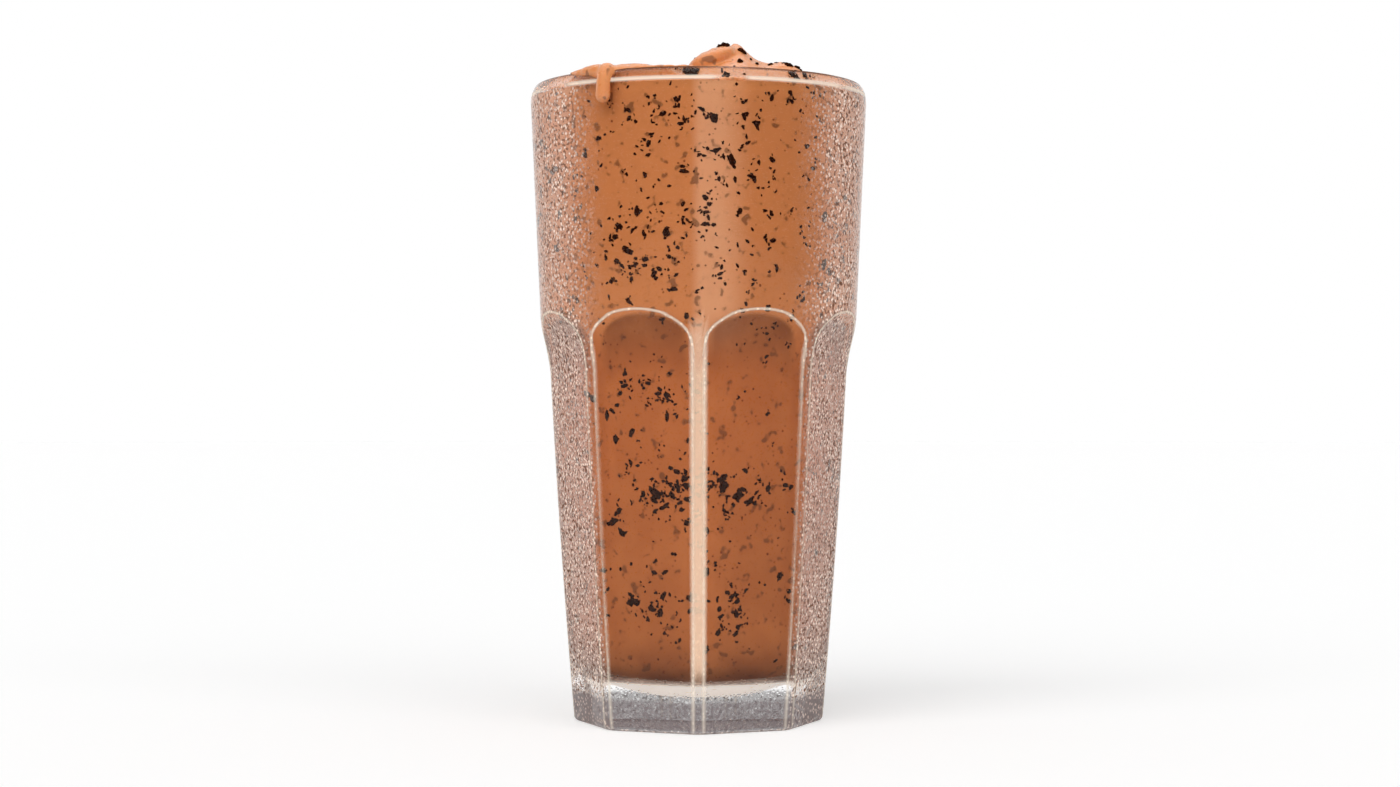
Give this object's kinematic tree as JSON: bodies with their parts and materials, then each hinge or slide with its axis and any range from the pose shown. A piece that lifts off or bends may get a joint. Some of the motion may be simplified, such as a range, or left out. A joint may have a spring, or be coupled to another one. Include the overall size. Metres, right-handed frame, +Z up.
{
  "type": "chocolate milkshake in a tall panelled glass",
  "caption": "Tall pressed glass with flat panels below a round upper part, filled to the brim with thick chocolate milkshake with dark biscuit crumbs, a drip running over the lip.",
  "frame": {"origin": "on the table under the middle of the glass", "axes": "+Z up along the glass axis, -Y towards the viewer, +X to the viewer's right; a pillar between two panels faces -Y"},
  "size_m": [0.0846, 0.0846, 0.1707],
  "materials": {
    "clear_glass": "pressed clear soda-lime glass, fire polished, lightly misted with condensation",
    "chocolate_milkshake": "thick wet chocolate milkshake, satin to glossy",
    "biscuit_crumb": "dark chocolate biscuit crumbs, dull and moist"
  },
  "bodies": {
    "root": {"glass": "clear_glass", "milkshake": "chocolate_milkshake"}
  },
  "joints": []
}
